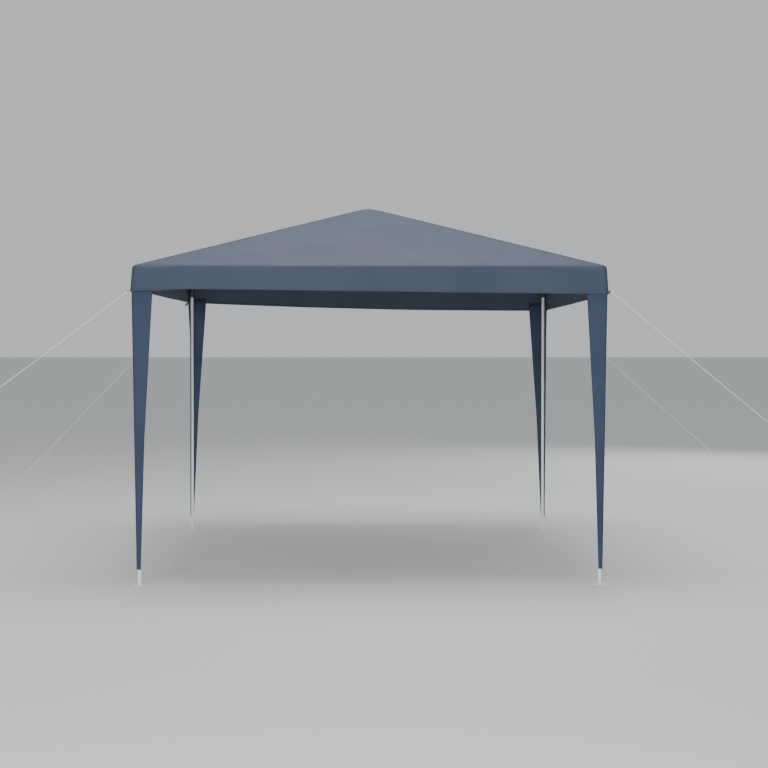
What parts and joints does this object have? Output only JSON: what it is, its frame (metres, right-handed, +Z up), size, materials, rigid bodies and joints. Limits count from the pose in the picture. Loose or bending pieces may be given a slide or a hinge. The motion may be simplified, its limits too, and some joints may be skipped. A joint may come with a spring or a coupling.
{
  "type": "tent on poles",
  "caption": "Open-sided square party tent: pitched cloth roof with valances on push-together steel tubes, tapered leg covers and taut guy ropes with sliding runners.",
  "frame": {"origin": "on the ground, under the middle of the roof", "axes": "+Z up, +Y from the front side towards the back, +X to the right seen from the front"},
  "size_m": [7.078, 3.7597, 2.55],
  "materials": {
    "canopy_cloth": "slate grey-blue coated polyester plain weave, matt",
    "leg_cover_cloth": "the same cloth as the roof, hemmed",
    "coated_tube": "white powder-coated steel tube, satin",
    "coated_plate": "white powder-coated steel plate, satin",
    "moulded_connector": "moulded dark grey polypropylene",
    "webbing": "woven polyester webbing",
    "rope": "braided polyester cord, off-white",
    "moulded_runner": "moulded dark grey polypropylene"
  },
  "bodies": {
    "tent": {"corner_connector_front_left": "moulded_connector", "corner_connector_front_right": "moulded_connector", "corner_connector_rear_left": "moulded_connector", "corner_connector_rear_right": "moulded_connector", "corner_loops": "webbing", "eave_tube_front_socket": "coated_tube", "eave_tube_front_swaged": "coated_tube", "eave_tube_left_socket": "coated_tube", "eave_tube_left_swaged": "coated_tube", "eave_tube_rear_socket": "coated_tube", "eave_tube_rear_swaged": "coated_tube", "eave_tube_right_socket": "coated_tube", "eave_tube_right_swaged": "coated_tube", "foot_plate_front_left": "coated_plate", "foot_plate_front_right": "coated_plate", "foot_plate_rear_left": "coated_plate", "foot_plate_rear_right": "coated_plate", "guy_rope_front_left": "rope", "guy_rope_front_right": "rope", "guy_rope_rear_left": "rope", "guy_rope_rear_right": "rope", "leg_cover_front_left": "leg_cover_cloth", "leg_cover_front_right": "leg_cover_cloth", "leg_cover_rear_left": "leg_cover_cloth", "leg_cover_rear_right": "leg_cover_cloth", "leg_lower_front_left": "coated_tube", "leg_lower_front_right": "coated_tube", "leg_lower_rear_left": "coated_tube", "leg_lower_rear_right": "coated_tube", "leg_ties": "webbing", "leg_upper_front_left": "coated_tube", "leg_upper_front_right": "coated_tube", "leg_upper_rear_left": "coated_tube", "leg_upper_rear_right": "coated_tube", "peak_connector": "moulded_connector", "rafter_lower_front_left": "coated_tube", "rafter_lower_front_right": "coated_tube", "rafter_lower_rear_left": "coated_tube", "rafter_lower_rear_right": "coated_tube", "rafter_upper_front_left": "coated_tube", "rafter_upper_front_right": "coated_tube", "rafter_upper_rear_left": "coated_tube", "rafter_upper_rear_right": "coated_tube", "roof_panel_front": "canopy_cloth", "roof_panel_left": "canopy_cloth", "roof_panel_rear": "canopy_cloth", "roof_panel_right": "canopy_cloth", "rope_knots_front_left": "rope", "rope_knots_front_right": "rope", "rope_knots_rear_left": "rope", "rope_knots_rear_right": "rope", "valance_front": "canopy_cloth", "valance_left": "canopy_cloth", "valance_rear": "canopy_cloth", "valance_right": "canopy_cloth"},
    "runner_front_left": {"rope_runner_front_left": "moulded_runner"},
    "runner_front_right": {"rope_runner_front_right": "moulded_runner"},
    "runner_rear_right": {"rope_runner_rear_right": "moulded_runner"},
    "runner_rear_left": {"rope_runner_rear_left": "moulded_runner"}
  },
  "joints": [
    {"name": "slide_runner_front_left", "type": "slide", "parent": "tent", "child": "runner_front_left", "axis": [-0.7726, -0.2059, -0.6006], "range_m": [0, 0.12]},
    {"name": "slide_runner_front_right", "type": "slide", "parent": "tent", "child": "runner_front_right", "axis": [0.7433, -0.1997, -0.6385], "range_m": [0, 0.12]},
    {"name": "slide_runner_rear_right", "type": "slide", "parent": "tent", "child": "runner_rear_right", "axis": [0.7553, 0.1329, -0.6418], "range_m": [0, 0.12]},
    {"name": "slide_runner_rear_left", "type": "slide", "parent": "tent", "child": "runner_rear_left", "axis": [-0.7017, 0.123, -0.7017], "range_m": [0, 0.12]}
  ]
}
